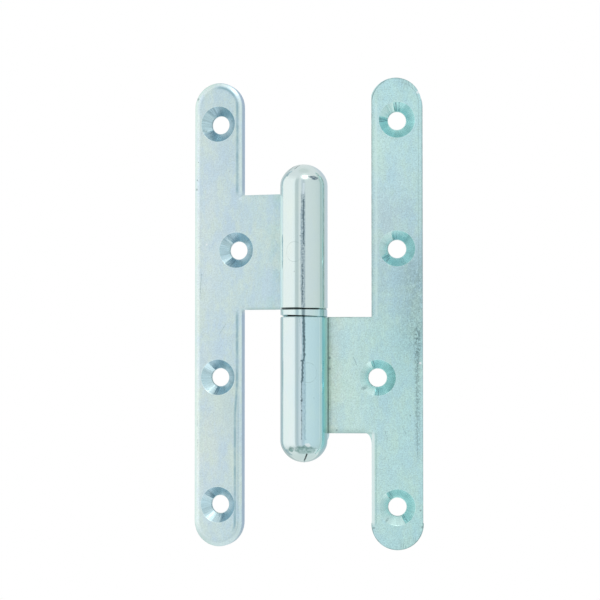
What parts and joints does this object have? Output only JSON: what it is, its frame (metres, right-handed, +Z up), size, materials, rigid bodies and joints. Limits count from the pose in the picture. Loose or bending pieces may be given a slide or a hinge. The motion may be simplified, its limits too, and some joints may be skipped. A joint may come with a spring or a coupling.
{
  "type": "lift-off hinge",
  "caption": "Lift-off hinge with two long round-ended leaves, rolled domed knuckles, a fixed pin and a loose washer.",
  "frame": {"origin": "on the pin's axis, at the middle of the washer", "axes": "+Z up along the pin's axis, +X towards the frame leaf, -Y towards the countersunk front of the leaves"},
  "size_m": [0.0689, 0.0199, 0.14],
  "materials": {
    "frame_leaf_zinc": "bright zinc plating with a pale blue-green passivation, faint scuffs",
    "door_leaf_zinc": "bright zinc plating with a pale blue passivation, faint scuffs",
    "pin_steel": "drawn bright steel, lightly greased",
    "washer_zinc": "bright zinc plating"
  },
  "bodies": {
    "frame": {"frame_leaf": "frame_leaf_zinc", "hinge_pin": "pin_steel"},
    "washer": {"thrust_washer": "washer_zinc"},
    "door": {"door_leaf": "door_leaf_zinc"}
  },
  "joints": [
    {"name": "swing", "type": "hinge", "parent": "frame", "child": "washer", "pos_m": [0, 0, 0], "axis": [0, 0, 1], "range_deg": [-135, 198]},
    {"name": "lift_off", "type": "slide", "parent": "washer", "child": "door", "axis": [0, 0, 1], "range_m": [0, 0.036]}
  ]
}
